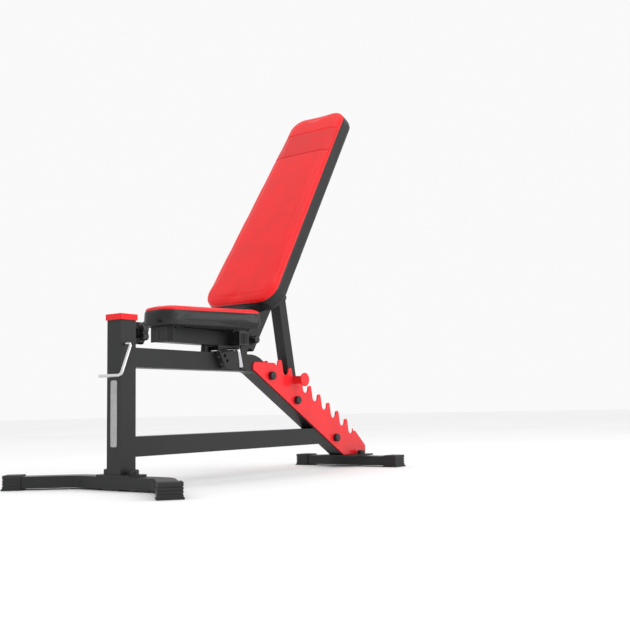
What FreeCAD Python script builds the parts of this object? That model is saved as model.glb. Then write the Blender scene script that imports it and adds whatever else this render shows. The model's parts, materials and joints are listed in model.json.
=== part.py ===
import FreeCAD, Part
import math
import os

# Adjustable weight bench: a welded frame with a front accessory post, a hinged seat, a hinged backrest
# and a strut whose crossbar drops into a toothed ladder.  Millimetres.
# Working axes: X runs from the front post towards the head end, Y across, Z up from the floor.
# Working X = 0 is the front post's axis; every shape is moved at the end so that the origin is
# the middle of the whole bench's footprint.

# ---- driving dimensions ----
TUBE = 50.0                 # side of the square main tubes
WALL = 2.5
PLATE = 4.0                 # thickness of the bracket and ladder plates
SLIP = 0.25                 # radial gap of a bolt in its clearance hole
RUN = 0.05                  # radial gap of a turning or sliding fit

FOOT_WIDE, FOOT_TALL, FOOT_WALL = 50.0, 30.0, 2.0
FOOT_LIFT = 4.0             # thickness of a foot cap's sole
FOOT_TOP = FOOT_LIFT + FOOT_TALL
CAP_WALL, CAP_LONG, CAP_GRIP = 3.5, 46.0, 40.0
SOLE_MARGIN = 2.5
FLANGE = 5.0                # thickness of the two foot flange plates
BASE = FOOT_TOP + FLANGE    # where the post and the main beam stand

POST_TOP = 434.0
COLLAR_LOW, COLLAR_TOP, COLLAR_SIDE = 424.0, 439.0, 58.0
SOCKET = TUBE - 2 * WALL
UPPER_AXIS = 330.0          # height of the main beam's centre line
LOWER_AXIS = 106.0
SLOPE = math.radians(30.4)
BEND_X, BEND_R = 497.0, 75.0

FRONT_BEND_Y, FRONT_LEG_ANGLE, FRONT_LEG = 150.0, math.radians(40.5), 187.0
FRONT_BEND_R = 60.0
REAR_FOOT_X, REAR_FOOT_HALF = 1018.0, 195.0

HINGE = (480.0, 398.0)      # backrest hinge, X and Z
HINGE_R = 6.0
SEAT_HINGE = (440.0, 396.0)
SEAT_HINGE_R = 5.0

REST_PIVOT = (638.0, 538.0)     # strut hinge on the backrest
BAR = (689.0, 283.5)            # strut crossbar, resting in its notch
BAR_R, BAR_HALF = 12.5, 62.0
DISC_R, DISC_THICK = 21.0, 4.0

NOTCH_PITCH, NOTCH_R = 57.0, 13.5
RACK_SLOPE = math.radians(28.2)
NOTCH_LIFT = 0.7            # sets the resting crossbar just above its notch's round bottom
NOTCHES_ABOVE, NOTCHES_BELOW = 1, 6     # notches uphill and downhill of the one in use

BACK_ANGLE = math.radians(33.3)     # backrest's lean from upright
BACK_DEEP, BACK_WIDE, BACK_WALL = 50.0, 40.0, 2.0
BACK_SET = 6.0              # how far the tube's centre line lies behind the hinge
BACK_FOOT, BACK_HEAD = -15.0, 740.0
PAD_FACE = 99.6             # red face's height in front of the hinge
PAD_SOFT, BOARD = 45.0, 12.0
PAD_LOW, PAD_HIGH = 65.0, 885.0
PAD_LOW_WIDE, PAD_HIGH_WIDE = 274.0, 222.0
PAD_LOW_R, PAD_HIGH_R = 54.0, 52.0
PAD_EDGE, SEAT_EDGE = 14.0, 12.0       # rounding along the cushions' face edges
BOARD_INSET = 4.0

SEAT_TUBE, SEAT_WALL = 40.0, 2.0
SEAT_LOW = 376.0
SEAT_HIGH = SEAT_LOW + SEAT_TUBE
SEAT_FRONT = 146.0
CROSS_X, CROSS_HALF = 405.0, 56.0
SEAT_PLATE = 4.0
SEAT_FACE = 469.0
SEAT_BOARD = 12.0
SEAT_PAD = (107.0, 395.0, 122.0, 278.0)     # front X, rear X, front width, rear width
SEAT_PAD_R = (48.0, 17.0)

PIN_R, PIN_REACH = 5.0, 96.0
PIN_STEP = math.radians(10.0)
PIN_DROP = 34.5             # lock pin's axis below the seat hinge
SWING_IN, SWING_OUT = 26.0, 30.0

STRUT_SIDE, STRUT_WALL = 35.0, 2.0
STRUT_END = 14.0
EAR_IN = BACK_WIDE / 2

CLAMP_Z, CLAMP_R = 395.0, 5.0
POST_PIN_X, POST_PIN_Z, POST_PIN_R = -14.0, 363.0, 4.0

parts = {}


# ---- shared shapes ----
def vec(x, y, z):
    return FreeCAD.Vector(x, y, z)


def block(x0, x1, y0, y1, z0, z1):
    return Part.makeBox(x1 - x0, y1 - y0, z1 - z0, vec(x0, y0, z0))


def rod(start, end, radius):
    axis = vec(*end).sub(vec(*start))
    return Part.makeCylinder(radius, axis.Length, vec(*start), axis)


def cross_rod(x, z, half, radius):
    return rod((x, -half, z), (x, half, z), radius)


def profile(edges_or_points, y0, y1):
    """Extrudes a closed outline in the XZ plane from y0 to y1."""
    if isinstance(edges_or_points[0], tuple):
        corners = [vec(x, y0, z) for x, z in edges_or_points]
        wire = Part.makePolygon(corners + [corners[0]])
    else:
        wire = Part.Wire(Part.__sortEdges__(edges_or_points))
    return Part.Face(wire).extrude(vec(0, y1 - y0, 0))


def rounded_wire(spots, radii):
    """A closed wire through the given corners, each rounded by its own radius (0 keeps it sharp)."""
    count = len(spots)
    starts, ends, arcs = [], [], []
    for i in range(count):
        here = spots[i]
        if radii[i] == 0:
            starts.append(here)
            ends.append(here)
            continue
        back = spots[i - 1].sub(here).normalize()
        ahead = spots[(i + 1) % count].sub(here).normalize()
        half = math.acos(max(-1.0, min(1.0, back.dot(ahead)))) / 2
        reach = radii[i] / math.tan(half)
        middle = back.add(ahead).normalize()
        starts.append(here.add(back * reach))
        ends.append(here.add(ahead * reach))
        top = here.add(middle * (radii[i] / math.sin(half) - radii[i]))
        arcs.append(Part.Arc(starts[i], top, ends[i]).toShape())
    edges = list(arcs)
    for i in range(count):
        after = starts[(i + 1) % count]
        if ends[i].distanceToPoint(after) > 1e-6:
            edges.append(Part.LineSegment(ends[i], after).toShape())
    return Part.Wire(Part.__sortEdges__(edges))


def rounded_profile(corners, y0, y1):
    """Extrudes an outline in the XZ plane from y0 to y1; each corner is (x, z, radius)."""
    wire = rounded_wire([vec(x, y0, z) for x, z, r in corners], [r for x, z, r in corners])
    return Part.Face(wire).extrude(vec(0, y1 - y0, 0))


def slab(corners, radii, low, high):
    wire = rounded_wire([vec(x, y, low) for x, y in corners], radii)
    return Part.Face(wire).extrude(vec(0, 0, high - low))


def bent_rod(points, radius, bend):
    """A round bar along straight runs joined by tangent arcs."""
    spots = [vec(*p) for p in points]
    edges = []
    here = spots[0]
    for i in range(1, len(spots) - 1):
        back = spots[i - 1].sub(spots[i]).normalize()
        ahead = spots[i + 1].sub(spots[i]).normalize()
        half = math.acos(back.dot(ahead)) / 2
        reach = bend / math.tan(half)
        middle = back.add(ahead).normalize()
        start, end = spots[i].add(back * reach), spots[i].add(ahead * reach)
        top = spots[i].add(middle * (bend / math.sin(half) - bend))
        edges += [Part.LineSegment(here, start).toShape(), Part.Arc(start, top, end).toShape()]
        here = end
    edges.append(Part.LineSegment(here, spots[-1]).toShape())
    direction = spots[1].sub(spots[0])
    ring = Part.Wire(Part.makeCircle(radius, spots[0], direction))
    return Part.Wire(edges).makePipeShell([ring], True, False)


def joined(shapes):
    whole = shapes[0]
    for extra in shapes[1:]:
        whole = whole.fuse(extra)
    return whole.removeSplitter()


def hexagon(centre, axis, across_flats, height):
    ring = [vec(across_flats / math.sqrt(3) * math.cos(math.radians(60 * i)),
                across_flats / math.sqrt(3) * math.sin(math.radians(60 * i)), 0) for i in range(6)]
    solid = Part.Face(Part.makePolygon(ring + [ring[0]])).extrude(vec(0, 0, height))
    solid.Placement = FreeCAD.Placement(vec(*centre), FreeCAD.Rotation(vec(0, 0, 1), vec(*axis)))
    return solid


def bolt_cap(centre, axis, radius=12.5, height=13.0, recess=10.0, depth=9.0):
    """A domed plastic cap that covers a bolt head or nut; centre is on the face it sits on."""
    crown = 4.0
    shell = Part.makeCylinder(radius, height)
    shell = shell.makeFillet(crown, [e for e in shell.Edges if abs(e.BoundBox.ZMin - height) < 1e-6
                                     and abs(e.BoundBox.ZMax - height) < 1e-6])
    shell = shell.cut(Part.makeCylinder(recess, depth))
    shell.Placement = FreeCAD.Placement(vec(*centre), FreeCAD.Rotation(vec(0, 0, 1), vec(*axis)))
    return shell


def ribbed_plug(centre, axis, side, inner, proud=5.0, depth=22.0):
    """A square tube plug with a ribbed face; local Z points out of the tube."""
    head = block(-side / 2, side / 2, -side / 2, side / 2, 0, proud)
    head = head.cut(block(-side / 2 + 5, side / 2 - 5, -side / 2 + 5, side / 2 - 5, proud - 2.5, proud))
    ribs = 5
    span = side - 10
    for i in range(ribs):
        at = -span / 2 + span * (i + 0.5) / ribs
        head = head.fuse(block(at - 1.5, at + 1.5, -span / 2, span / 2, proud - 2.5, proud))
    stem = block(-inner / 2, inner / 2, -inner / 2, inner / 2, -depth, 0)
    stem = stem.cut(block(-inner / 2 + 3, inner / 2 - 3, -inner / 2 + 3, inner / 2 - 3, -depth, -3))
    plug = joined([head, stem])
    plug.Placement = FreeCAD.Placement(vec(*centre), FreeCAD.Rotation(vec(0, 0, 1), vec(*axis)))
    return plug


def square_tube(x0, x1, y0, y1, z0, z1, wall, along):
    """A hollow bar between the given bounds, open at both ends along its axis."""
    inside = [x0, x1, y0, y1, z0, z1]
    for i in range(3):
        if "xyz"[i] != along:
            inside[2 * i] += wall
            inside[2 * i + 1] -= wall
    return block(x0, x1, y0, y1, z0, z1).cut(block(*inside))


def through_bolt(x, z, half, radius, head=6.5, flats=16.0):
    """Bolt shaft with its head at -Y, and the nut at +Y."""
    shaft = cross_rod(x, z, half, radius)
    shaft = joined([shaft, hexagon((x, -half, z), (0, -1, 0), flats, head)])
    tail = rod((x, half, z), (x, half + head, z), radius)
    nut = hexagon((x, half, z), (0, 1, 0), flats, head).cut(cross_rod(x, z, half + 20, radius + RUN))
    return joined([shaft, tail]), nut


# ---- frame ----
def beam_strip(offset_low, offset_high, y0, y1):
    """The bent main beam's outline between two offsets from its centre line, extruded across."""
    bend_start = BEND_X - BEND_R * math.tan(SLOPE / 2)
    centre_z = UPPER_AXIS - BEND_R

    def edge_points(offset):
        radius = BEND_R + offset
        first = vec(TUBE / 2, y0, UPPER_AXIS + offset)
        start = vec(bend_start, y0, UPPER_AXIS + offset)
        middle = vec(bend_start + radius * math.sin(SLOPE / 2), y0, centre_z + radius * math.cos(SLOPE / 2))
        end = vec(bend_start + radius * math.sin(SLOPE), y0, centre_z + radius * math.cos(SLOPE))
        last = vec(end.x + (end.z - BASE) / math.tan(SLOPE), y0, BASE)
        return first, start, middle, end, last

    edges = []
    rims = []
    for offset in (offset_low, offset_high):
        first, start, middle, end, last = edge_points(offset)
        edges += [Part.LineSegment(first, start).toShape(), Part.Arc(start, middle, end).toShape(),
                  Part.LineSegment(end, last).toShape()]
        rims.append((first, last))
    for i in range(2):
        edges.append(Part.LineSegment(rims[0][i], rims[1][i]).toShape())
    return profile(edges, y0, y1)


def on_slope(x, rise):
    """Height of the line that runs along the sloping beam, rise above its lower face."""
    corner_z = UPPER_AXIS - TUBE / 2
    corner_x = BEND_X - TUBE / 2 * math.tan(SLOPE / 2)
    return corner_z - (x - corner_x) * math.tan(SLOPE) + rise / math.cos(SLOPE)


LADDER_BOLTS = [(x, on_slope(x, 29.0)) for x in (566.0, 691.0, 900.0)]
LADDER_BOLT_R = 5.0
downhill = (math.cos(RACK_SLOPE), -math.sin(RACK_SLOPE))


def build_main_beam():
    beam = beam_strip(-TUBE / 2, TUBE / 2, -TUBE / 2, TUBE / 2)
    beam = beam.cut(beam_strip(-TUBE / 2 + WALL, TUBE / 2 - WALL, -TUBE / 2 + WALL, TUBE / 2 - WALL))
    for x, z in LADDER_BOLTS:
        beam = beam.cut(cross_rod(x, z, TUBE, LADDER_BOLT_R + SLIP))
    parts["main_beam"] = beam


def build_post():
    post = square_tube(-TUBE / 2, TUBE / 2, -TUBE / 2, TUBE / 2, BASE, POST_TOP, WALL, "z")
    post = post.cut(cross_rod(POST_PIN_X, POST_PIN_Z, TUBE, POST_PIN_R + RUN))
    post = post.cut(rod((0, 0, CLAMP_Z), (TUBE, 0, CLAMP_Z), CLAMP_R + RUN))
    parts["front_post"] = post

    half = COLLAR_SIDE / 2
    corners = [(-half, -half), (half, -half), (half, half), (-half, half)]
    collar = slab(corners, [3.0] * 4, COLLAR_LOW, COLLAR_TOP)
    collar = collar.cut(block(-TUBE / 2, TUBE / 2, -TUBE / 2, TUBE / 2, COLLAR_LOW, POST_TOP))
    collar = collar.cut(block(-SOCKET / 2, SOCKET / 2, -SOCKET / 2, SOCKET / 2, POST_TOP, COLLAR_TOP))
    parts["post_collar"] = collar

    lower = square_tube(TUBE / 2, 900, -TUBE / 2, TUBE / 2, LOWER_AXIS - TUBE / 2, LOWER_AXIS + TUBE / 2,
                        WALL, "x")
    above = beam_strip(-TUBE / 2, 400, -TUBE, TUBE)
    parts["lower_beam"] = lower.cut(above)


def build_clamp():
    face = TUBE / 2
    nut_long, hub_start, knob_start, knob_end = 12.0, 19.0, 26.0, 46.0
    boss = rod((face, 0, CLAMP_Z), (face + nut_long, 0, CLAMP_Z), 11.0)
    parts["clamp_nut"] = boss.cut(rod((face - 1, 0, CLAMP_Z), (face + nut_long + 1, 0, CLAMP_Z), CLAMP_R + RUN))
    parts["clamp_screw"] = rod((face - 3, 0, CLAMP_Z), (face + knob_start + 8, 0, CLAMP_Z), CLAMP_R)
    lobes, lobe_r, lobe_at = 6, 9.5, 19.5
    core = rod((face + knob_start, 0, CLAMP_Z), (face + knob_end, 0, CLAMP_Z), 22.0)
    pieces = [core, rod((face + hub_start, 0, CLAMP_Z), (face + knob_start, 0, CLAMP_Z), 13.0)]
    for i in range(lobes):
        turn = math.radians(360 / lobes * i + 30)
        y, z = lobe_at * math.cos(turn), CLAMP_Z + lobe_at * math.sin(turn)
        pieces.append(rod((face + knob_start, y, z), (face + knob_end - 2, y, z), lobe_r))
    knob = joined(pieces)
    knob = knob.cut(rod((face, 0, CLAMP_Z), (face + knob_start + 8 + RUN, 0, CLAMP_Z), CLAMP_R + RUN))
    parts["clamp_knob"] = knob


def build_post_pin():
    side, low = -50.0, POST_PIN_Z - 80
    path = [(POST_PIN_X, 33, POST_PIN_Z), (POST_PIN_X, side, POST_PIN_Z), (-47, side, low), (-51, 24, low)]
    parts["post_pin"] = bent_rod(path, POST_PIN_R, 9.0)


def foot_cap(x, y, heading):
    """A ribbed cap at a foot tube's end; (x, y) is the tube's end and heading points out of it."""
    wide, tall = FOOT_WIDE + 2 * CAP_WALL, FOOT_TOP + CAP_WALL
    start, end = -CAP_GRIP, CAP_LONG - CAP_GRIP
    body = block(start, end, -wide / 2, wide / 2, 0, tall)
    sole = block(start - 1, end + SOLE_MARGIN, -wide / 2 - SOLE_MARGIN, wide / 2 + SOLE_MARGIN, 0, FOOT_LIFT)
    cap = body.fuse(sole)
    for level in (11.0, 18.5, 26.0):
        ring = block(start - 5, end + 5, -wide, wide, level, level + 2.6)
        ring = ring.cut(block(start - 6, end - 1.6, -wide / 2 + 1.6, wide / 2 - 1.6, level, level + 2.6))
        cap = cap.cut(ring)
    cap = cap.cut(block(start - 6, 0, -FOOT_WIDE / 2, FOOT_WIDE / 2, FOOT_LIFT, FOOT_TOP))
    cap.rotate(vec(0, 0, 0), vec(0, 0, 1), math.degrees(heading))
    cap.translate(vec(x, y, 0))
    return cap


def foot_strip(side, inset, low, high):
    """One bent front leg, seen from above: a bend and a straight run, side is +1 or -1 across."""
    def line(offset):
        radius = FRONT_BEND_R + offset
        start_y = FRONT_BEND_Y - FRONT_BEND_R * math.tan(FRONT_LEG_ANGLE / 2)
        centre_x = -FRONT_BEND_R
        points = []
        for turn in (0.0, FRONT_LEG_ANGLE / 2, FRONT_LEG_ANGLE):
            points.append((centre_x + radius * math.cos(turn), start_y + radius * math.sin(turn)))
        run = FRONT_LEG - FRONT_BEND_R * math.tan(FRONT_LEG_ANGLE / 2)
        points.append((points[2][0] - run * math.sin(FRONT_LEG_ANGLE), points[2][1] + run * math.cos(FRONT_LEG_ANGLE)))
        return [vec(x, side * y, low) for x, y in points]

    outer, inner = line(FOOT_WIDE / 2 - inset), line(-FOOT_WIDE / 2 + inset)
    edges = []
    for a in (outer, inner):
        edges += [Part.Arc(a[0], a[1], a[2]).toShape(), Part.LineSegment(a[2], a[3]).toShape()]
    for i in (0, 3):
        edges.append(Part.LineSegment(outer[i], inner[i]).toShape())
    wire = Part.Wire(Part.__sortEdges__(edges))
    return Part.Face(wire).extrude(vec(0, 0, high - low))


def build_feet():
    start_y = FRONT_BEND_Y - FRONT_BEND_R * math.tan(FRONT_LEG_ANGLE / 2)
    bar = square_tube(-FOOT_WIDE / 2, FOOT_WIDE / 2, -start_y, start_y, FOOT_LIFT, FOOT_TOP, FOOT_WALL, "y")
    rear = square_tube(REAR_FOOT_X - FOOT_WIDE / 2, REAR_FOOT_X + FOOT_WIDE / 2, -REAR_FOOT_HALF, REAR_FOOT_HALF,
                       FOOT_LIFT, FOOT_TOP, FOOT_WALL, "y")
    bolts, nuts, caps = [], [], []
    for x, y, foot in FOOT_BOLTS:
        low, head = FOOT_LIFT, 2.5
        hole = rod((x, y, 0), (x, y, BASE + 10), LADDER_BOLT_R + SLIP)
        if foot == "front":
            bar = bar.cut(hole)
        else:
            rear = rear.cut(hole)
        carriage = rod((x, y, low - head), (x, y, low), 9.0)
        bolts.append(joined([rod((x, y, low - head), (x, y, BASE + 8), LADDER_BOLT_R), carriage]))
        nut = hexagon((x, y, BASE), (0, 0, 1), 16.0, 7.0)
        nuts.append(nut.cut(rod((x, y, BASE), (x, y, BASE + 9), LADDER_BOLT_R + RUN)))
        caps.append(bolt_cap((x, y, BASE), (0, 0, 1)))
    parts["front_foot_bar"] = bar
    parts["rear_foot_bar"] = rear
    parts["foot_bolts"] = Part.makeCompound(bolts)
    return nuts, caps



def build_feet_ends():
    start_y = FRONT_BEND_Y - FRONT_BEND_R * math.tan(FRONT_LEG_ANGLE / 2)
    run = FRONT_LEG - FRONT_BEND_R * math.tan(FRONT_LEG_ANGLE / 2)
    end_x = -FRONT_BEND_R * (1 - math.cos(FRONT_LEG_ANGLE)) - run * math.sin(FRONT_LEG_ANGLE)
    end_y = start_y + FRONT_BEND_R * math.sin(FRONT_LEG_ANGLE) + run * math.cos(FRONT_LEG_ANGLE)
    for name, side in (("far", 1), ("near", -1)):
        leg = foot_strip(side, 0, FOOT_LIFT, FOOT_TOP)
        leg = leg.cut(foot_strip(side, FOOT_WALL, FOOT_LIFT + FOOT_WALL, FOOT_TOP - FOOT_WALL))
        parts["front_leg_" + name] = leg
        heading = side * (math.pi / 2 + FRONT_LEG_ANGLE)
        parts["front_foot_cap_" + name] = foot_cap(end_x, side * end_y, heading)
        parts["rear_foot_cap_" + name] = foot_cap(REAR_FOOT_X, side * REAR_FOOT_HALF, side * math.pi / 2)


FOOT_BOLTS = [(0, -46, "front"), (0, 46, "front"), (REAR_FOOT_X + 8, -46, "rear"), (REAR_FOOT_X + 8, 46, "rear")]


def build_flanges():
    for name, x0, x1, foot in (("front", -30.0, 30.0, "front"), ("rear", 935.0, 1078.0, "rear")):
        half = 64.0
        plate = slab([(x0, -half), (x1, -half), (x1, half), (x0, half)], [8.0] * 4, FOOT_TOP, BASE)
        for x, y, which in FOOT_BOLTS:
            if which == foot:
                plate = plate.cut(rod((x, y, FOOT_TOP - 1), (x, y, BASE + 1), LADDER_BOLT_R + SLIP))
        parts[name + "_flange_plate"] = plate


def ladder_teeth():
    """Corners of the ladder plate's toothed edge, from the uphill end down, as (x, z, radius)."""
    lean = math.radians(11.3)
    up = (-math.sin(lean), math.cos(lean))
    out = (math.cos(lean), math.sin(lean))
    low_side, high_side = 4.5, 40.5     # height of a notch's walls above the bar, downhill and uphill
    corners = []
    for k in range(-NOTCHES_ABOVE, NOTCHES_BELOW + 1):
        cx = BAR[0] + k * NOTCH_PITCH * downhill[0] + NOTCH_LIFT * up[0]
        cz = BAR[1] + k * NOTCH_PITCH * downhill[1] + NOTCH_LIFT * up[1]
        for side, rise, radius in ((-1, high_side - (4 if k < 0 else 0), 7.5), (-1, -NOTCH_R, NOTCH_R - 0.01),
                                   (1, -NOTCH_R, NOTCH_R - 0.01), (1, low_side, 7.5)):
            corners.append((cx + side * NOTCH_R * out[0] + rise * up[0],
                            cz + side * NOTCH_R * out[1] + rise * up[1], radius))
    return corners


def build_ladder():
    teeth = ladder_teeth()
    rise_low = 2.5
    first_x, top = 483.0, 333.5
    tip_x, tip_z = teeth[0][0], teeth[0][1]
    front = [(first_x + 22, on_slope(first_x + 22, rise_low), 12), (first_x, 311.0, 8), (first_x, top, 13),
             (tip_x - 34, top, 4), (tip_x - 28, tip_z - 17, 3), (tip_x - 20, tip_z - 18, 3),
             (tip_x - 16.5, tip_z - 2.5, 7)]
    tail_x = 1078.0
    tail = [(tail_x, 66.0, 4), (tail_x, BASE + 1, 0), (at_height(BASE + 1, rise_low), BASE + 1, 0)]
    plate = rounded_profile(front + teeth + tail, 0, PLATE)
    for x, z in LADDER_BOLTS:
        plate = plate.cut(cross_rod(x, z, TUBE, LADDER_BOLT_R + SLIP))
    for name, y in (("near", -TUBE / 2 - PLATE), ("far", TUBE / 2)):
        parts["ladder_plate_" + name] = plate.translated(vec(0, y, 0))
    bolts, nuts, caps = [], [], []
    for x, z in LADDER_BOLTS:
        bolt, nut = through_bolt(x, z, TUBE / 2 + PLATE, LADDER_BOLT_R)
        bolts.append(bolt)
        nuts.append(nut)
        for side in (-1, 1):
            caps.append(bolt_cap((x, side * (TUBE / 2 + PLATE), z), (0, side, 0)))
    parts["ladder_bolts"] = Part.makeCompound(bolts)
    return nuts, caps


def at_height(z, rise):
    """Where the line that runs along the sloping beam reaches a height."""
    return BEND_X + (on_slope(BEND_X, rise) - z) / math.tan(SLOPE)


def build_hinge_brackets():
    hx, hz = HINGE
    sx, sz = SEAT_HINGE
    reach, seat_reach = 17.0, 13.0
    web = profile([(430, 310), (456, 310), (456, 366), (hx + 4, hz - reach + 0.5), (hx - 8, hz + reach - 2),
                   (sx, sz + seat_reach), (sx - seat_reach, sz), (430, 360)], 0, PLATE)
    eyes = [rod((hx, 0, hz), (hx, PLATE, hz), reach), rod((sx, 0, sz), (sx, PLATE, sz), seat_reach)]
    bracket = joined([web] + eyes)
    bracket = bracket.cut(cross_rod(hx, hz, TUBE, HINGE_R + RUN))
    bracket = bracket.cut(cross_rod(sx, sz, TUBE, SEAT_HINGE_R + RUN))
    for name, y in (("near", -TUBE / 2 - PLATE), ("far", TUBE / 2)):
        parts["hinge_bracket_" + name] = bracket.translated(vec(0, y, 0))
    face = TUBE / 2 + PLATE
    big, big_nut = through_bolt(hx, hz, face, HINGE_R, 7.0, 17.0)
    small, small_nut = through_bolt(sx, sz, face, SEAT_HINGE_R, 5.5, 13.0)
    parts["backrest_hinge_bolt"] = big
    parts["seat_hinge_bolt"] = small
    parts["hinge_nuts"] = Part.makeCompound([big_nut, small_nut])
    caps = []
    for side in (-1, 1):
        collar = rod((hx, side * face, hz), (hx, side * (face + 3), hz), 14.5)
        hood = bolt_cap((hx, side * face, hz), (0, side, 0), 11.5, 21.0, 10.2, 13.0)
        hollow = rod((hx, side * (face - 1), hz), (hx, side * (face + 4), hz), 10.2)
        caps.append(joined([hood, collar.cut(hollow)]))
        caps.append(bolt_cap((sx, side * face, sz), (0, side, 0), 10.0, 9.5, 7.8, 7.0))
    parts["hinge_bolt_caps"] = Part.makeCompound(caps)


def build_bumper():
    top = UPPER_AXIS + TUBE / 2
    x, radius = 306.0, 11.0
    foot = Part.makeCone(radius, radius - 1.5, SEAT_LOW - 0.8 - top, vec(x, 0, top), vec(0, 0, 1))
    parts["seat_bumper"] = foot


# ---- backrest: built upright about its hinge, then leaned ----
def lean_back(shape):
    shape.rotate(vec(0, 0, 0), vec(0, 1, 0), math.degrees(BACK_ANGLE))
    shape.translate(vec(HINGE[0], 0, HINGE[1]))
    return shape


def back_local(x, z):
    """A working point in the backrest's own upright axes."""
    dx, dz = x - HINGE[0], z - HINGE[1]
    return (dx * math.cos(BACK_ANGLE) - dz * math.sin(BACK_ANGLE),
            dx * math.sin(BACK_ANGLE) + dz * math.cos(BACK_ANGLE))


def pad_slab(front_x, rear_x, inset):
    """The backrest's outline as a slab between two local X values."""
    low, high = PAD_LOW + inset, PAD_HIGH - inset
    low_half, high_half = PAD_LOW_WIDE / 2 - inset, PAD_HIGH_WIDE / 2 - inset
    corners = [(low, -low_half), (low, low_half), (high, high_half), (high, -high_half)]
    radii = [PAD_LOW_R - inset, PAD_LOW_R - inset, PAD_HIGH_R - inset, PAD_HIGH_R - inset]
    shape = slab(corners, radii, 0, rear_x - front_x)
    shape.rotate(vec(0, 0, 0), vec(0, 1, 0), -90)
    shape.translate(vec(rear_x, 0, 0))
    return shape


def build_backrest():
    front = BACK_SET - BACK_DEEP / 2
    rear = BACK_SET + BACK_DEEP / 2
    half = BACK_WIDE / 2
    tube = square_tube(front, rear, -half, half, BACK_FOOT, BACK_HEAD, BACK_WALL, "z")
    bush_r, bore = HINGE_R + 3.0, HINGE_R + RUN
    tube = tube.cut(cross_rod(0, 0, TUBE, bush_r + RUN))
    parts["backrest_tube"] = lean_back(tube)
    bushes = []
    flange = TUBE / 2 - 0.3
    for side in (-1, 1):
        sleeve = rod((0, side * (half - 8), 0), (0, side * half, 0), bush_r)
        rim = rod((0, side * half, 0), (0, side * flange, 0), bush_r + 4)
        bushes.append(lean_back(joined([sleeve, rim]).cut(cross_rod(0, 0, TUBE, bore))))
    parts["backrest_bushes"] = Part.makeCompound(bushes)

    board_front = -PAD_FACE + PAD_SOFT
    board_rear = board_front + BOARD
    spots = []
    for name, low in (("lower", 150.0), ("upper", 610.0)):
        wide, long_half = 40.0, 88.0
        channel = block(board_rear, front, -long_half, long_half, low, low + wide)
        channel = channel.cut(block(board_rear + 3, front, -long_half, long_half, low + 3, low + wide - 3))
        middle = low + wide / 2
        for side in (-1, 1):
            y = side * 66.0
            spots.append((y, middle))
            channel = channel.cut(rod((board_rear - 1, y, middle), (board_rear + 4, y, middle), 3.2))
        parts["backrest_channel_" + name] = lean_back(channel)
    board = pad_slab(board_front, board_rear, BOARD_INSET)
    screws = []
    for y, z in spots:
        board = board.cut(rod((board_rear - 9, y, z), (board_rear, y, z), 3.0 + RUN))
        shaft = rod((board_rear - 8.9, y, z), (board_rear + 3, y, z), 3.0)
        head = rod((board_rear + 3, y, z), (board_rear + 6, y, z), 6.5)
        screws.append(lean_back(joined([shaft, head])))
    parts["backrest_board"] = lean_back(board)
    parts["backrest_screws"] = Part.makeCompound(screws)
    cushion = pad_slab(-PAD_FACE, board_front, 0)
    face_edges = [e for e in cushion.Edges if e.BoundBox.XMax < -PAD_FACE + 0.1]
    parts["backrest_cushion"] = lean_back(cushion.makeFillet(PAD_EDGE, face_edges))

    plugs = []
    for z, out in ((BACK_FOOT, -1), (BACK_HEAD, 1)):
        proud = 4.0
        cap = block(front, rear, -half, half, min(z, z + out * proud), max(z, z + out * proud))
        inner = block(front + BACK_WALL, rear - BACK_WALL, -half + BACK_WALL, half - BACK_WALL,
                      min(z, z - out * 8), max(z, z - out * 8))
        plugs.append(lean_back(joined([cap, inner])))
    plug_clear = lean_back(cross_rod(0, 0, TUBE, bush_r + 1.0))
    parts["backrest_tube_plugs"] = Part.makeCompound([p.cut(plug_clear) for p in plugs])

    px, pz = back_local(*REST_PIVOT)
    for side in (-1, 1):
        y0, y1 = sorted((side * EAR_IN, side * (EAR_IN + PLATE)))
        web = profile([(rear - 34, pz - 26), (rear, pz - 30), (px + 6, pz - 11), (px + 6, pz + 11),
                       (rear, pz + 34), (rear - 34, pz + 30)], y0, y1)
        eye = rod((px, y0, pz), (px, y1, pz), 14.0)
        ear = joined([web, eye]).cut(cross_rod(px, pz, TUBE, STRUT_BOLT_R + RUN))
        parts["strut_ear_" + ("near" if side < 0 else "far")] = lean_back(ear)
    bolt, nut = through_bolt(px, pz, EAR_IN + PLATE, STRUT_BOLT_R, 6.0, 16.0)
    parts["strut_bolt"] = lean_back(bolt)
    parts["strut_nut"] = lean_back(nut)


STRUT_BOLT_R = 5.0


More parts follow.
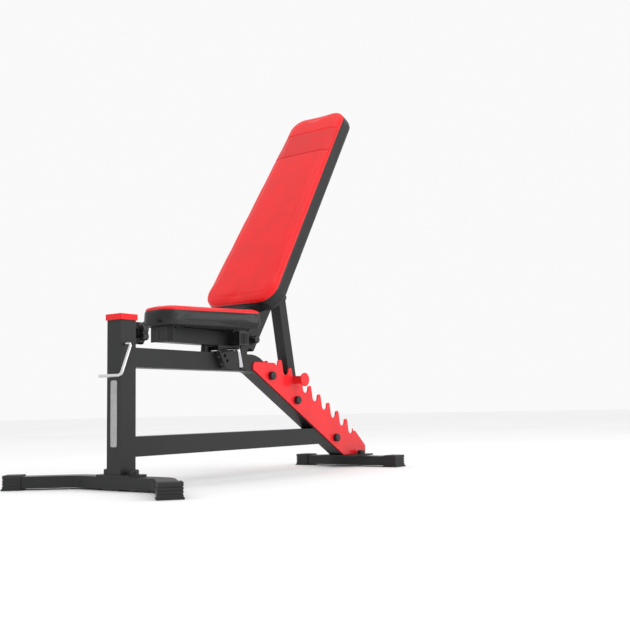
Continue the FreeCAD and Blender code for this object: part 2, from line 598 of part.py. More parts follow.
# ---- strut ----
def build_strut():
    dx, dz = BAR[0] - REST_PIVOT[0], BAR[1] - REST_PIVOT[1]
    length = math.hypot(dx, dz)
    tilt = math.degrees(math.atan2(dx, -dz))

    def place(shape):
        shape.rotate(vec(0, 0, 0), vec(0, 1, 0), -tilt)
        shape.translate(vec(REST_PIVOT[0], 0, REST_PIVOT[1]))
        return shape

    half = STRUT_SIDE / 2
    end = length + 16.0
    tube = square_tube(-half, half, -half, half, -end, STRUT_END, STRUT_WALL, "z")
    tube = tube.cut(cross_rod(0, 0, TUBE, STRUT_BOLT_R + 2.5 + RUN))
    tube = tube.cut(cross_rod(0, -length, TUBE, BAR_R + RUN))
    parts["strut_tube"] = place(tube)
    bushes = []
    for side in (-1, 1):
        sleeve = rod((0, side * (half - 7), 0), (0, side * half, 0), STRUT_BOLT_R + 2.5)
        rim = rod((0, side * half, 0), (0, side * (EAR_IN - 0.3), 0), STRUT_BOLT_R + 6)
        bushes.append(place(joined([sleeve, rim]).cut(cross_rod(0, 0, TUBE, STRUT_BOLT_R + RUN))))
    parts["strut_bushes"] = Part.makeCompound(bushes)
    crossbar = cross_rod(0, -length, BAR_HALF, BAR_R)
    crossbar = crossbar.cut(cross_rod(0, -length, BAR_HALF, BAR_R - 2.5))
    parts["strut_crossbar"] = place(crossbar)
    discs = []
    for side in (-1, 1):
        disc = rod((0, side * BAR_HALF, -length), (0, side * (BAR_HALF + DISC_THICK), -length), DISC_R)
        outer = [e for e in disc.Edges if abs(e.BoundBox.YMin - side * (BAR_HALF + DISC_THICK)) < 0.01
                 and abs(e.BoundBox.YMax - side * (BAR_HALF + DISC_THICK)) < 0.01]
        discs.append(place(disc.makeFillet(1.2, outer)))
    parts["crossbar_discs"] = Part.makeCompound(discs)


# ---- seat ----
def pin_hole(step):
    start = math.asin(PIN_DROP / PIN_REACH)
    turn = start + step * PIN_STEP
    return SEAT_HINGE[0] - PIN_REACH * math.cos(turn), SEAT_HINGE[1] - PIN_REACH * math.sin(turn)


def build_seat():
    half = SEAT_TUBE / 2
    cross_front, cross_rear = CROSS_X - half, CROSS_X + half
    parts["seat_tube"] = square_tube(SEAT_FRONT, cross_front, -half, half, SEAT_LOW, SEAT_HIGH, SEAT_WALL, "x")
    parts["seat_cross_tube"] = square_tube(cross_front, cross_rear, -CROSS_HALF, CROSS_HALF, SEAT_LOW, SEAT_HIGH,
                                           SEAT_WALL, "y")
    middle = (SEAT_LOW + SEAT_HIGH) / 2
    inner = SEAT_TUBE - 2 * SEAT_WALL
    parts["seat_front_plug"] = ribbed_plug((SEAT_FRONT, 0, middle), (-1, 0, 0), SEAT_TUBE, inner)
    parts["seat_cross_plugs"] = Part.makeCompound(
        [ribbed_plug((CROSS_X, side * CROSS_HALF, middle), (0, side, 0), SEAT_TUBE, inner) for side in (-1, 1)])

    angle_front = SEAT_FRONT - 5.0
    wide = 42.0
    angle = block(angle_front, angle_front + 42, -wide, wide, SEAT_HIGH, SEAT_HIGH + SEAT_PLATE)
    for side in (-1, 1):
        y0, y1 = sorted((side * half, side * wide))
        angle = angle.fuse(block(angle_front, angle_front + SEAT_PLATE, y0, y1, SEAT_LOW + 1, SEAT_HIGH))
    rear_plate = block(CROSS_X - 39, cross_rear - 2, -CROSS_HALF, CROSS_HALF, SEAT_HIGH, SEAT_HIGH + SEAT_PLATE)
    screw_spots = [(angle_front + 24, y) for y in (-31, 31)] + [(CROSS_X - 29, y) for y in (-46, 46)]
    board_low = SEAT_HIGH + SEAT_PLATE
    screws = []
    for x, y in screw_spots:
        hole = rod((x, y, SEAT_HIGH - 1), (x, y, board_low + 1), 3.2)
        angle = angle.cut(hole)
        rear_plate = rear_plate.cut(hole)
        shaft = rod((x, y, SEAT_HIGH), (x, y, board_low + 8.9), 3.0)
        screws.append(joined([shaft, rod((x, y, SEAT_HIGH - 3), (x, y, SEAT_HIGH), 5.5)]))
    parts["seat_front_angle"] = angle.removeSplitter()
    parts["seat_rear_plate"] = rear_plate
    parts["seat_screws"] = Part.makeCompound(screws)

    front, rear, front_wide, rear_wide = SEAT_PAD
    corners = [(front, -front_wide / 2), (rear, -rear_wide / 2), (rear, rear_wide / 2), (front, front_wide / 2)]
    radii = [SEAT_PAD_R[0], SEAT_PAD_R[1], SEAT_PAD_R[1], SEAT_PAD_R[0]]
    inset = BOARD_INSET
    small = [(front + inset, -front_wide / 2 + inset), (rear - inset, -rear_wide / 2 + inset),
             (rear - inset, rear_wide / 2 - inset), (front + inset, front_wide / 2 - inset)]
    board = slab(small, [r - inset for r in radii], board_low, board_low + SEAT_BOARD)
    for x, y in screw_spots:
        board = board.cut(rod((x, y, board_low), (x, y, board_low + 9), 3.0 + RUN))
    parts["seat_board"] = board
    cushion = slab(corners, radii, board_low + SEAT_BOARD, SEAT_FACE)
    face_edges = [e for e in cushion.Edges if e.BoundBox.ZMin > SEAT_FACE - 0.1]
    parts["seat_cushion"] = cushion.makeFillet(SEAT_EDGE, face_edges)

    sx, sz = SEAT_HINGE
    lugs = []
    bushes = []
    for side in (-1, 1):
        y0, y1 = sorted((side * 15.0, side * half))
        lug = joined([block(cross_rear, sx, y0, y1, sz - 11, sz + 11), rod((sx, y0, sz), (sx, y1, sz), 11.0)])
        lugs.append(lug.cut(cross_rod(sx, sz, TUBE, SEAT_HINGE_R + RUN)))
        spacer = rod((sx, side * half, sz), (sx, side * (TUBE / 2 - 0.3), sz), 9.0)
        bushes.append(spacer.cut(cross_rod(sx, sz, TUBE, SEAT_HINGE_R + RUN)))
    parts["seat_hinge_lugs"] = Part.makeCompound(lugs)
    parts["seat_hinge_spacers"] = Part.makeCompound(bushes)

    web = block(330, cross_rear - 4, -SWING_OUT, SWING_OUT, SEAT_LOW - PLATE, SEAT_LOW)
    lip_top, lip_foot, lip_out = (316.0, 352.0), (341.5, 310.0), 48.0
    cheek = [(330, SEAT_LOW), (cross_rear - 4, SEAT_LOW), (cross_rear - 4, SEAT_LOW - 14), (402, 310),
             lip_foot, lip_top, (330, 360)]
    edge = math.hypot(lip_foot[0] - lip_top[0], lip_top[1] - lip_foot[1])
    inward = ((lip_top[1] - lip_foot[1]) / edge, (lip_foot[0] - lip_top[0]) / edge)
    lip = [lip_top, lip_foot] + [(p[0] + PLATE * inward[0], p[1] + PLATE * inward[1]) for p in (lip_foot, lip_top)]
    pieces = [web]
    for side in (-1, 1):
        pieces.append(profile(cheek, *sorted((side * SWING_IN, side * SWING_OUT))))
        flange = profile(lip, *sorted((side * SWING_IN, side * lip_out)))
        for share in (0.28, 0.76):
            x = lip_top[0] + share * (lip_foot[0] - lip_top[0])
            z = lip_top[1] + share * (lip_foot[1] - lip_top[1])
            reach = 2 * PLATE
            flange = flange.cut(rod((x - reach * inward[0], side * 38, z - reach * inward[1]),
                                    (x + reach * inward[0], side * 38, z + reach * inward[1]), 4.5))
        pieces.append(flange)
    bracket = joined(pieces)
    for step in range(3):
        x, z = pin_hole(step)
        bracket = bracket.cut(cross_rod(x, z, TUBE, PIN_R + RUN))
    parts["seat_adjust_bracket"] = bracket

    x, z = pin_hole(0)
    grip = -86.0
    path = [(x, 40, z), (x, grip, z), (x + 9, grip - 3, z - 50)]
    parts["seat_pin"] = bent_rod(path, PIN_R, 9.0)


build_main_beam()
build_post()
build_clamp()
build_post_pin()
foot_nuts, foot_caps = build_feet()
build_feet_ends()
build_flanges()
ladder_nuts, ladder_caps = build_ladder()
parts["frame_nuts"] = Part.makeCompound(foot_nuts + ladder_nuts)
parts["frame_bolt_caps"] = Part.makeCompound(foot_caps + ladder_caps)
build_hinge_brackets()
build_bumper()
build_backrest()
build_strut()
build_seat()

whole = Part.makeCompound(list(parts.values()))
middle_x = (whole.BoundBox.XMin + whole.BoundBox.XMax) / 2
os.makedirs("parts", exist_ok=True)
for name, shape in parts.items():
    shape.translate(vec(-middle_x, 0, 0))
    shape.exportStep("parts/" + name + ".step")
print("nodes", len(parts), "middle X", round(middle_x, 3), "size", whole.BoundBox)
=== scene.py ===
import json
import math

import bpy
import numpy as np
from mathutils import Matrix, Vector


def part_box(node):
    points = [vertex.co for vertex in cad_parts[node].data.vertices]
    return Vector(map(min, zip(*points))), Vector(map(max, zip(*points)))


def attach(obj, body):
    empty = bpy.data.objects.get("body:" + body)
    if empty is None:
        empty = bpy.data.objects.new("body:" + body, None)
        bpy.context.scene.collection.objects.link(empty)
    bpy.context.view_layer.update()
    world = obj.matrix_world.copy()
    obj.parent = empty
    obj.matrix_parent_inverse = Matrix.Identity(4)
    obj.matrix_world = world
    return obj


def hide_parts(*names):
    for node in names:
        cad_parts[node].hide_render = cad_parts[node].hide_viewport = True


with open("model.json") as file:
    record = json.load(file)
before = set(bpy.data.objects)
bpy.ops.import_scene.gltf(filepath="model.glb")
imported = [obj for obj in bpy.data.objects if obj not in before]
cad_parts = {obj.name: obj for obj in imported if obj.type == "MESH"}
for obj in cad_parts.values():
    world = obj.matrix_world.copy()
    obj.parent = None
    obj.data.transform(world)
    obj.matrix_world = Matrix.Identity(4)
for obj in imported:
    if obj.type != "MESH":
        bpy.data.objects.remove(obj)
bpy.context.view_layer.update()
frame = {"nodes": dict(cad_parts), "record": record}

# Looks of the adjustable weight bench: two stuffed pads, a plain label on the post, and procedural finishes.
# Metres and radians.  A pad has its own axes: u across it, v along it, and a height out from its board.
# The backrest's v and height start at its hinge axis.  The seat's v starts at the post's axis and its height
# at the floor.

# ---- pads ----
BACK_ANGLE = math.radians(33.3)         # backrest's lean from upright at rest
BACK_SHAPE = {
    "low": 0.065, "high": 0.885,            # the ends, along v
    "low_half": 0.137, "high_half": 0.111,  # half widths there
    "low_radius": 0.054, "high_radius": 0.052,
    "base": 0.0431, "face": 0.0996,         # heights of the cover's rear edge and of its face
    "edge_radius": 0.009,
    "pull": 0.0015,                         # how far the sides draw in between the corners
    "red_depth": 0.015,                     # how far the red wraps down over the edge
    "shoulder": 0.026,                      # how far inside the outline the pressed line runs
    "seams": (0.683, 0.790),                # the sewn band near the head
}
SEAT_SHAPE = {
    "low": 0.107, "high": 0.395,
    "low_half": 0.061, "high_half": 0.139,
    "low_radius": 0.048, "high_radius": 0.017,
    "base": 0.4205, "face": 0.469,
    "edge_radius": 0.006,
    "pull": 0.0010,
    "red_depth": 0.0095,
    "shoulder": 0.020,
    "seams": (),
}
START_INSET = -0.0015       # below zero, the form starts outside its outline, because smoothing draws it in
CROWN = 0.001               # how far the unstuffed face rises to its middle line
TUCK = 0.002                # how far the cover turns in under its rear edge
LEAST_RADIUS = 0.004
ARC_STEPS, SIDE_STEPS, EDGE_STEPS = 8, 16, 6
FACE_SHARES = (0.12, 0.27, 0.45, 0.65, 0.85)    # rings on the face, as shares of the way to its middle line
SPINE_INSET = 0.9           # how far the middle line stops short of each end, in half widths
SPINE_LEAST = 0.01          # and its least length

VOXEL = 0.0055
SMOOTH_FACTOR = 0.5
FORM_PASSES, STUFFED_PASSES = 4, 8      # smoothing before and after stuffing
HELD_HEIGHT = 0.004         # the cover is held up to this height above its rear edge
SWELL_CAP = 0.004           # the farthest that stuffing moves a point
SIM_FRAMES = 20
CLOTH_QUALITY, CLOTH_MASS = 5, 0.3
CLOTH_STIFFNESS, CLOTH_BENDING, CLOTH_PRESSURE = 18, 4, 4

EDGE_SEAM = (0.0022, 0.0013)            # width and depth of each pressed line
SHOULDER_LINE = (0.004, 0.0010)
CROSS_SEAM = (0.0028, 0.0024)
EDGE_SEAM_REACH = 0.02                  # the edge seam is pressed only this near the outline
BAND_BLUR, EDGE_BLUR = 0.0005, 0.0004   # half widths of the colour edges at the band and at the edge seam

# ---- label on the post ----
LABEL_LOW, LABEL_HIGH, LABEL_WIDE = 0.107, 0.272, 0.023
LABEL_REACH = 0.0003                    # how far it reaches in front of the post's face, and behind it
LABEL_CORNER = 0.005
LABEL_STEPS = 6

# ---- camera, light and floor ----
CAMERA_BACK, CAMERA_SIDE, CAMERA_UP = 1.5605, 1.7299, 0.1893
YAW, PITCH, ROLL = 0.6249, 0.1047, -0.019
SENSOR, LENS = 36.0, 51.63
WORLD_STRENGTH = 0.95
LIGHT_TARGET = (0.0, 0.0, 0.45)
FLOOR_HALF, FLOOR_DROP = 30.0, 0.0005

# ---- colours ----
RED_VINYL, BLACK_VINYL = (0.80, 0.005, 0.008), (0.012, 0.012, 0.013)
RED_PAINT, COLLAR_RED = (0.80, 0.016, 0.022), (0.78, 0.006, 0.010)
DARK_PAINT, BLACK_STEEL = (0.018, 0.0185, 0.019), (0.020, 0.020, 0.021)
RUBBER, PLASTIC = (0.013, 0.013, 0.014), (0.012, 0.012, 0.013)
CHROME, ZINC = (0.70, 0.70, 0.72), (0.62, 0.62, 0.64)

post_low, post_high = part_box("front_post")
post_middle = (post_low + post_high) / 2
hinge_low, hinge_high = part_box("backrest_hinge_bolt")
hinge = (hinge_low + hinge_high) / 2


def add_camera():
    sight = Vector((math.cos(YAW) * math.cos(PITCH), math.sin(YAW) * math.cos(PITCH), math.sin(PITCH)))
    right = Vector((math.sin(YAW), -math.cos(YAW), 0))
    up = right.cross(sight)
    rolled_right = math.cos(ROLL) * right + math.sin(ROLL) * up
    rolled_up = -math.sin(ROLL) * right + math.cos(ROLL) * up
    turn = Matrix((rolled_right, rolled_up, -sight)).transposed().to_4x4()
    data = bpy.data.cameras.new("camera")
    data.sensor_width = SENSOR
    data.lens = LENS
    camera = bpy.data.objects.new("camera", data)
    spot = Vector((post_middle.x - CAMERA_BACK, -CAMERA_SIDE, CAMERA_UP))
    camera.matrix_world = Matrix.Translation(spot) @ turn
    bpy.context.scene.collection.objects.link(camera)
    bpy.context.scene.camera = camera


def add_light(name, spot, side, power):
    """A square soft light that points at the middle of the bench."""
    data = bpy.data.lights.new(name, "AREA")
    data.shape = "RECTANGLE"
    data.size, data.size_y = side, side
    data.energy = power
    light = bpy.data.objects.new(name, data)
    light.location = spot
    light.rotation_euler = (Vector(LIGHT_TARGET) - Vector(spot)).to_track_quat("-Z", "Y").to_euler()
    bpy.context.scene.collection.objects.link(light)


def add_world():
    world = bpy.data.worlds.new("studio")
    world.use_nodes = True
    background = world.node_tree.nodes["Background"]
    background.inputs["Color"].default_value = (1, 1, 1, 1)
    background.inputs["Strength"].default_value = WORLD_STRENGTH
    bpy.context.scene.world = world


def add_floor():
    mesh = bpy.data.meshes.new("floor")
    corners = [(u * FLOOR_HALF, v * FLOOR_HALF, 0) for u, v in ((-1, -1), (1, -1), (1, 1), (-1, 1))]
    mesh.from_pydata(corners, [], [(0, 1, 2, 3)])
    mesh.materials.append(floor_paint("floor_paint"))
    floor = bpy.data.objects.new("floor", mesh)
    floor.location.z = -FLOOR_DROP
    bpy.context.scene.collection.objects.link(floor)


# ---- shader nodes ----
def new_material(name, **values):
    """A material and its shader, with constant values set on the shader's own sockets."""
    material = bpy.data.materials.new(name)
    material.use_nodes = True
    shader = material.node_tree.nodes["Principled BSDF"]
    for socket, value in values.items():
        shader.inputs[socket.replace("_", " ")].default_value = value
    return material, shader


def texture(material, kind, scale):
    """A texture node in the object's own axes."""
    tree = material.node_tree
    where = tree.nodes.new("ShaderNodeTexCoord")
    node = tree.nodes.new(kind)
    node.inputs["Scale"].default_value = scale
    tree.links.new(where.outputs["Object"], node.inputs["Vector"])
    return node


def noise(material, scale, detail=3.0, roughness=0.5):
    node = texture(material, "ShaderNodeTexNoise", scale)
    node.inputs["Detail"].default_value = detail
    node.inputs["Roughness"].default_value = roughness
    return node.outputs["Fac"]


def ramp(material, source, dark, light, low=0.35, high=0.65):
    """A colour from dark to light, as the source goes from low to high."""
    node = material.node_tree.nodes.new("ShaderNodeValToRGB")
    node.color_ramp.elements[0].position = low
    node.color_ramp.elements[0].color = (*dark, 1)
    node.color_ramp.elements[1].position = high
    node.color_ramp.elements[1].color = (*light, 1)
    material.node_tree.links.new(source, node.inputs["Fac"])
    return node.outputs["Color"]


def spread(material, source, low, high, from_low=0.3, from_high=0.7):
    """A number from low to high, as the source goes from from_low to from_high."""
    node = material.node_tree.nodes.new("ShaderNodeMapRange")
    node.inputs["From Min"].default_value = from_low
    node.inputs["From Max"].default_value = from_high
    node.inputs["To Min"].default_value = low
    node.inputs["To Max"].default_value = high
    material.node_tree.links.new(source, node.inputs["Value"])
    return node.outputs["Result"]


def attribute(material, name):
    node = material.node_tree.nodes.new("ShaderNodeAttribute")
    node.attribute_name = name
    return node.outputs["Fac"]


def mix(material, factor, first, second):
    tree = material.node_tree
    node = tree.nodes.new("ShaderNodeMix")
    node.data_type = "RGBA"
    tree.links.new(factor, node.inputs["Factor"])
    tree.links.new(first, node.inputs["A"])
    tree.links.new(second, node.inputs["B"])
    return node.outputs["Result"]


def between(material, source, low, high, blur):
    """1 where the source is between low and high, and 0 elsewhere."""
    node = material.node_tree.nodes.new("ShaderNodeMath")
    node.operation = "MULTIPLY"
    rising = spread(material, source, 0, 1, low - blur, low + blur)
    falling = spread(material, source, 1, 0, high - blur, high + blur)
    material.node_tree.links.new(rising, node.inputs[0])
    material.node_tree.links.new(falling, node.inputs[1])
    return node.outputs[0]


def cover(material, shader, colour, rough):
    """Links a colour and a roughness to the shader."""
    material.node_tree.links.new(colour, shader.inputs["Base Color"])
    material.node_tree.links.new(rough, shader.inputs["Roughness"])


def bump(material, shader, source, height, strength):
    node = material.node_tree.nodes.new("ShaderNodeBump")
    node.inputs["Strength"].default_value = strength
    node.inputs["Distance"].default_value = height
    material.node_tree.links.new(source, node.inputs["Height"])
    material.node_tree.links.new(node.outputs["Normal"], shader.inputs["Normal"])


def shade(colour, factor):
    return tuple(min(1.0, c * factor) for c in colour)


def mottle(material, source, colour, dark, light):
    """The colour, varied from a darker to a lighter share of itself by the source."""
    return ramp(material, source, shade(colour, dark), shade(colour, light))


# ---- materials ----
def powder_coat(name, colour, rough, coat):
    """Baked powder paint: slight cloudiness and orange peel under a thin gloss."""
    material, shader = new_material(name, Coat_Weight=coat, Coat_Roughness=0.12, Specular_IOR_Level=0.28)
    cloud = noise(material, scale=9.0)
    varied = mottle(material, cloud, colour, dark=0.93, light=1.06)
    cover(material, shader, varied, spread(material, cloud, rough - 0.04, rough + 0.04))
    peel = noise(material, scale=1400.0, detail=2.0)
    bump(material, shader, peel, height=0.00008, strength=0.35)
    return material


def moulded(name, colour, rough, grain, height):
    """Moulded plastic or rubber with a fine grain."""
    material, shader = new_material(name)
    cloud = noise(material, scale=30.0)
    varied = mottle(material, cloud, colour, dark=0.85, light=1.2)
    cover(material, shader, varied, spread(material, cloud, rough - 0.05, rough + 0.05))
    bump(material, shader, noise(material, grain, detail=2.0), height, strength=0.4)
    return material


def plated(name, colour, rough, grain):
    """Bright plated metal with faint handling marks."""
    material, shader = new_material(name, Metallic=1.0)
    marks = noise(material, grain, detail=4.0, roughness=0.7)
    varied = mottle(material, marks, colour, dark=0.93, light=1.0)
    cover(material, shader, varied, spread(material, marks, rough, rough * 1.8))
    return material


def board_cover(name):
    """Black cloth over plywood."""
    material, shader = new_material(name)
    weave = noise(material, scale=900.0, detail=2.0)
    varied = ramp(material, weave, dark=(0.010, 0.010, 0.011), light=(0.022, 0.022, 0.023))
    cover(material, shader, varied, spread(material, weave, 0.62, 0.78))
    bump(material, shader, weave, height=0.0002, strength=0.5)
    return material


def label_film(name):
    material, shader = new_material(name)
    cloud = noise(material, scale=60.0)
    varied = ramp(material, cloud, dark=(0.34, 0.34, 0.35), light=(0.40, 0.40, 0.41))
    cover(material, shader, varied, spread(material, cloud, 0.3, 0.4))
    return material


def floor_paint(name):
    material, shader = new_material(name)
    cloud = noise(material, scale=0.8)
    varied = ramp(material, cloud, dark=(0.91, 0.91, 0.91), light=(0.94, 0.94, 0.94))
    cover(material, shader, varied, spread(material, cloud, 0.75, 0.85))
    return material


def vinyl(name, shape):
    """Red vinyl above the edge seam, black vinyl below it, and a deeper red between the cross seams."""
    material, shader = new_material(name, Coat_Weight=0.06, Coat_Roughness=0.2, Specular_IOR_Level=0.30)
    cloud = noise(material, scale=14.0)
    face = mottle(material, cloud, RED_VINYL, dark=0.95, light=1.04)
    if shape["seams"]:
        deep = mottle(material, cloud, RED_VINYL, dark=0.84, light=0.92)
        band = between(material, attribute(material, "along"), *shape["seams"], BAND_BLUR)
        face = mix(material, band, face, deep)
    side = mottle(material, cloud, BLACK_VINYL, dark=0.85, light=1.2)
    seam = shape["face"] - shape["red_depth"]
    above = spread(material, attribute(material, "height"), 0, 1, seam - EDGE_BLUR, seam + EDGE_BLUR)
    cover(material, shader, mix(material, above, side, face), spread(material, cloud, 0.33, 0.42))
    grain = texture(material, "ShaderNodeTexVoronoi", scale=620.0)
    bump(material, shader, grain.outputs["Distance"], height=0.00012, strength=0.3)
    return material


finishes = {
    "dark_powder_coat": powder_coat("dark_powder_coat", DARK_PAINT, rough=0.42, coat=0.05),
    "red_powder_coat": powder_coat("red_powder_coat", RED_PAINT, rough=0.30, coat=0.25),
    "red_collar": powder_coat("red_collar", COLLAR_RED, rough=0.34, coat=0.08),
    "foot_cap_rubber": moulded("foot_cap_rubber", RUBBER, rough=0.62, grain=900.0, height=0.0002),
    "black_plastic": moulded("black_plastic", PLASTIC, rough=0.36, grain=1200.0, height=0.00008),
    "black_steel": powder_coat("black_steel", BLACK_STEEL, rough=0.38, coat=0.2),
    "chrome": plated("chrome", CHROME, rough=0.07, grain=40.0),
    "zinc_steel": plated("zinc_steel", ZINC, rough=0.24, grain=120.0),
    "black_board": board_cover("black_board"),
    "red_vinyl": vinyl("red_vinyl", BACK_SHAPE),
    "red_black_vinyl": vinyl("red_black_vinyl", SEAT_SHAPE),
}


def finish_cad_nodes():
    for part in frame["record"]["subparts"]:
        node = frame["nodes"][part["node"]]
        for place in node.material_slots:
            place.material = finishes[part["material_slot"]]
        if not node.material_slots:
            node.data.materials.append(finishes[part["material_slot"]])


# ---- a pad's form ----
def arc_centres(shape, inset):
    """The outline's four corner arcs in turn: centre, radius and the angle that each starts at."""
    low, high = shape["low"] + inset, shape["high"] - inset
    low_half, high_half = shape["low_half"] - inset, shape["high_half"] - inset
    low_radius = max(shape["low_radius"] - inset, LEAST_RADIUS)
    high_radius = max(shape["high_radius"] - inset, LEAST_RADIUS)
    return [
        (low_half - low_radius, low + low_radius, low_radius, -math.pi / 2),
        (high_half - high_radius, high - high_radius, high_radius, 0.0),
        (high_radius - high_half, high - high_radius, high_radius, math.pi / 2),
        (low_radius - low_half, low + low_radius, low_radius, math.pi),
    ]


def outline_points(shape, inset, pull):
    """Points round the rounded, tapered outline, its sides drawn in a little between the corners."""
    arcs = arc_centres(shape, inset)
    points = []
    for number, (u, v, radius, start) in enumerate(arcs):
        for step in range(ARC_STEPS + 1):
            angle = start + step / ARC_STEPS * math.pi / 2
            points.append((u + radius * math.cos(angle), v + radius * math.sin(angle)))
        next_u, next_v, next_radius, _ = arcs[(number + 1) % len(arcs)]
        turn = start + math.pi / 2
        out_u, out_v = math.cos(turn), math.sin(turn)
        first_u, first_v = points[-1]
        last_u, last_v = next_u + next_radius * out_u, next_v + next_radius * out_v
        for step in range(1, SIDE_STEPS):
            share = step / SIDE_STEPS
            drawn = pull * (1 - (2 * share - 1) ** 2)
            points.append((first_u + (last_u - first_u) * share - drawn * out_u,
                           first_v + (last_v - first_v) * share - drawn * out_v))
    return points


def edge_distance(shape, u, v):
    """How far inside the rounded, tapered outline each point is."""
    low, high = shape["low"], shape["high"]
    share = np.clip((v - low) / (high - low), 0, 1)
    half = shape["low_half"] + (shape["high_half"] - shape["low_half"]) * share
    radius = np.where(share < 0.5, shape["low_radius"], shape["high_radius"])
    across = np.abs(u) - half + radius
    along = np.abs(v - (low + high) / 2) - (high - low) / 2 + radius
    outside = np.hypot(np.maximum(across, 0), np.maximum(along, 0))
    return radius - outside - np.minimum(np.maximum(across, along), 0)


def side_rings(shape, rim):
    """The inset and height of each ring, from the tucked-in rear edge to the face's rim."""
    radius = shape["edge_radius"]
    rings = [(TUCK, shape["base"]), (0.0, shape["base"] + TUCK)]
    for step in range(EDGE_STEPS + 1):
        angle = step / EDGE_STEPS * math.pi / 2
        rings.append((radius * (1 - math.cos(angle)), rim - radius * (1 - math.sin(angle))))
    return rings


def pad_points(shape):
    """The form's points, ring by ring, and the number in a ring."""
    base, rim = shape["base"], shape["face"] - CROWN
    rings = side_rings(shape, rim)
    points = []
    for inset, height in rings:
        level = (height - base) / (rim - base)
        pull = shape["pull"] * math.sin(math.pi * min(level, 1.0))
        points += [(u, v, height) for u, v in outline_points(shape, inset + START_INSET, pull)]
    count = len(points) // len(rings)
    top_ring = points[-count:]
    spine_low = shape["low"] + shape["low_half"] * SPINE_INSET
    spine_high = max(spine_low + SPINE_LEAST, shape["high"] - shape["high_half"] * SPINE_INSET)
    for share in FACE_SHARES:
        rise = CROWN * (1 - (1 - share) ** 2)
        for u, v, height in top_ring:
            spine = min(max(v, spine_low), spine_high)
            points.append((u * (1 - share), v + (spine - v) * share, height + rise))
    return points, count


def pad_form(name, shape):
    """The pad before it is stuffed: tucked in at the board, upright sides, a rounded edge and a low crown."""
    points, count = pad_points(shape)
    total = len(points) // count
    faces = [tuple(reversed(range(count))), tuple((total - 1) * count + i for i in range(count))]
    for ring in range(total - 1):
        here, above = ring * count, (ring + 1) * count
        for i in range(count):
            j = (i + 1) % count
            faces.append((here + i, here + j, above + j, above + i))
    mesh = bpy.data.meshes.new(name)
    mesh.from_pydata(points, [], faces)
    mesh.validate()
    pad = bpy.data.objects.new(name, mesh)
    bpy.context.scene.collection.objects.link(pad)
    return pad


# ---- stuffing and sewing ----
def evaluated_mesh(pad):
    evaluated = pad.evaluated_get(bpy.context.evaluated_depsgraph_get())
    return bpy.data.meshes.new_from_object(evaluated)


def apply_modifier(pad, kind, **values):
    modifier = pad.modifiers.new(kind.lower(), kind)
    for key, value in values.items():
        setattr(modifier, key, value)
    bpy.context.view_layer.update()
    mesh = evaluated_mesh(pad)
    pad.modifiers.remove(modifier)
    pad.data = mesh


def vertex_rows(mesh, field):
    """A field of every vertex, co or normal, as rows of three numbers."""
    flat = np.zeros(len(mesh.vertices) * 3, np.float64)
    mesh.vertices.foreach_get(field, flat)
    return flat.reshape(-1, 3)


def set_coordinates(mesh, points):
    mesh.vertices.foreach_set("co", points.ravel())
    mesh.update()


def stuff(pad, base):
    """Blows the cover out against its own stretch, held along the board, and caps each point's travel."""
    before = vertex_rows(pad.data, "co")
    held = pad.vertex_groups.new(name="held")
    for index, point in enumerate(before):
        if point[2] < base + HELD_HEIGHT:
            held.add([index], 1.0, "REPLACE")
    cloth = pad.modifiers.new("cloth", "CLOTH")
    cloth.settings.quality = CLOTH_QUALITY
    cloth.settings.mass = CLOTH_MASS
    cloth.settings.tension_stiffness = CLOTH_STIFFNESS
    cloth.settings.compression_stiffness = CLOTH_STIFFNESS
    cloth.settings.bending_stiffness = CLOTH_BENDING
    cloth.settings.use_pressure = True
    cloth.settings.uniform_pressure_force = CLOTH_PRESSURE
    cloth.settings.effector_weights.gravity = 0
    cloth.settings.vertex_group_mass = "held"
    cloth.point_cache.frame_start = 1
    cloth.point_cache.frame_end = SIM_FRAMES
    for number in range(1, SIM_FRAMES + 1):
        bpy.context.scene.frame_set(number)
    mesh = evaluated_mesh(pad)
    pad.modifiers.remove(cloth)
    moved = vertex_rows(mesh, "co") - before
    travel = np.linalg.norm(moved, axis=1, keepdims=True)
    set_coordinates(mesh, before + moved * np.minimum(1, SWELL_CAP / np.maximum(travel, 1e-9)))
    pad.data = mesh
    pad.vertex_groups.clear()
    bpy.context.scene.frame_set(1)


def crease(distance, width, depth):
    return depth * np.exp(-(distance / width) ** 2)


def sew(pad, shape):
    """Presses in the seam between red and black, the line inside the shoulder and the cross seams."""
    mesh = pad.data
    points, normals = vertex_rows(mesh, "co"), vertex_rows(mesh, "normal")
    inside = edge_distance(shape, points[:, 0], points[:, 1])
    facing = np.clip(normals[:, 2], 0, 1)
    above_seam = points[:, 2] - (shape["face"] - shape["red_depth"])
    sink = crease(above_seam, *EDGE_SEAM) * (inside < EDGE_SEAM_REACH)
    sink += crease(inside - shape["shoulder"], *SHOULDER_LINE) * facing
    for seam in shape["seams"]:
        sink += crease(points[:, 1] - seam, *CROSS_SEAM) * facing
    set_coordinates(mesh, points - normals * sink[:, None])


def mark(mesh, name, values):
    """Keeps a number at each vertex for the material to read."""
    layer = mesh.attributes.new(name, "FLOAT", "POINT")
    layer.data.foreach_set("value", values.astype(np.float32))


def make_pad(name, shape, turn, slot):
    pad = pad_form(name, shape)
    apply_modifier(pad, "REMESH", mode="VOXEL", voxel_size=VOXEL, use_smooth_shade=True)
    apply_modifier(pad, "SMOOTH", factor=SMOOTH_FACTOR, iterations=FORM_PASSES)
    stuff(pad, shape["base"])
    apply_modifier(pad, "SMOOTH", factor=SMOOTH_FACTOR, iterations=STUFFED_PASSES)
    apply_modifier(pad, "SUBSURF", levels=1, render_levels=1)
    sew(pad, shape)
    points = vertex_rows(pad.data, "co")
    mark(pad.data, "height", points[:, 2])
    mark(pad.data, "along", points[:, 1])
    pad.data.materials.clear()
    pad.data.materials.append(finishes[slot])
    pad.data.transform(turn)
    pad.data.shade_smooth()
    return pad


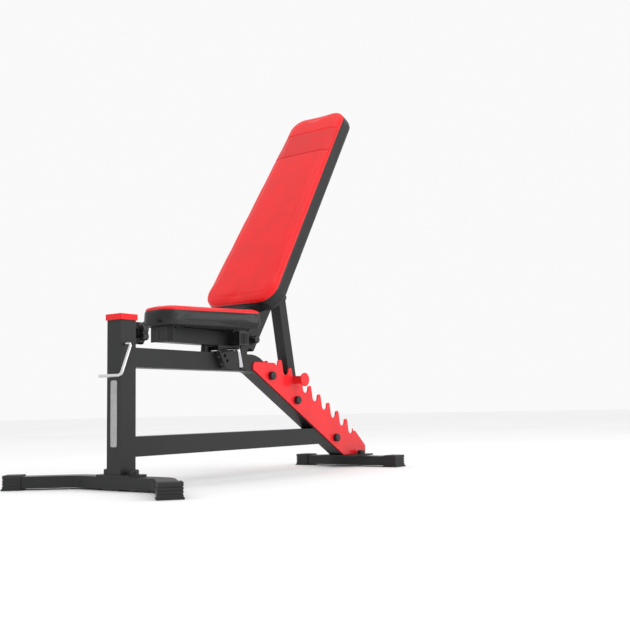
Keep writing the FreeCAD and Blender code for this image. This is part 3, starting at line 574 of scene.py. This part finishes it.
def local_frame(origin, along, out):
    """The matrix from a pad's own axes, with v along and the height out, to the frame's axes."""
    across = along.cross(out)
    return Matrix.Translation(origin) @ Matrix((across, along, out)).transposed().to_4x4()


def add_pads():
    up_back = Vector((math.sin(BACK_ANGLE), 0, math.cos(BACK_ANGLE)))
    out_back = Vector((-math.cos(BACK_ANGLE), 0, math.sin(BACK_ANGLE)))
    back_turn = local_frame(Vector((hinge.x, 0, hinge.z)), up_back, out_back)
    back = make_pad("backrest_pad", BACK_SHAPE, back_turn, "red_vinyl")
    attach(back, "backrest")
    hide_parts("backrest_cushion")
    seat_turn = local_frame(Vector((post_middle.x, 0, 0)), Vector((1, 0, 0)), Vector((0, 0, 1)))
    seat = make_pad("seat_pad", SEAT_SHAPE, seat_turn, "red_black_vinyl")
    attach(seat, "seat")
    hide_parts("seat_cushion")


# ---- label ----
def label_outline():
    """Points round the label's rounded rectangle, in Y and Z."""
    side = LABEL_WIDE / 2 - LABEL_CORNER
    top, foot = LABEL_HIGH - LABEL_CORNER, LABEL_LOW + LABEL_CORNER
    points = []
    for quarter, (y, z) in enumerate([(side, top), (-side, top), (-side, foot), (side, foot)]):
        for step in range(LABEL_STEPS + 1):
            angle = (quarter + step / LABEL_STEPS) * math.pi / 2
            points.append((y + LABEL_CORNER * math.cos(angle), z + LABEL_CORNER * math.sin(angle)))
    return points


def add_label():
    ring = label_outline()
    count = len(ring)
    points = [(post_low.x + reach, y, z) for reach in (-LABEL_REACH, LABEL_REACH) for y, z in ring]
    faces = [tuple(range(count)), tuple(reversed(range(count, 2 * count)))]
    faces += [((i + 1) % count, i, i + count, (i + 1) % count + count) for i in range(count)]
    mesh = bpy.data.meshes.new("post_label")
    mesh.from_pydata(points, [], faces)
    mesh.materials.append(label_film("label_film"))
    label = bpy.data.objects.new("post_label", mesh)
    bpy.context.scene.collection.objects.link(label)
    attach(label, "frame")


add_camera()
bpy.context.scene.view_settings.view_transform = "Standard"
add_world()
add_light("key", spot=(1.0, -3.4, 1.9), side=2.2, power=45)
add_light("top", spot=(-0.4, -0.4, 3.6), side=2.6, power=18)
add_floor()
finish_cad_nodes()
add_pads()
add_label()
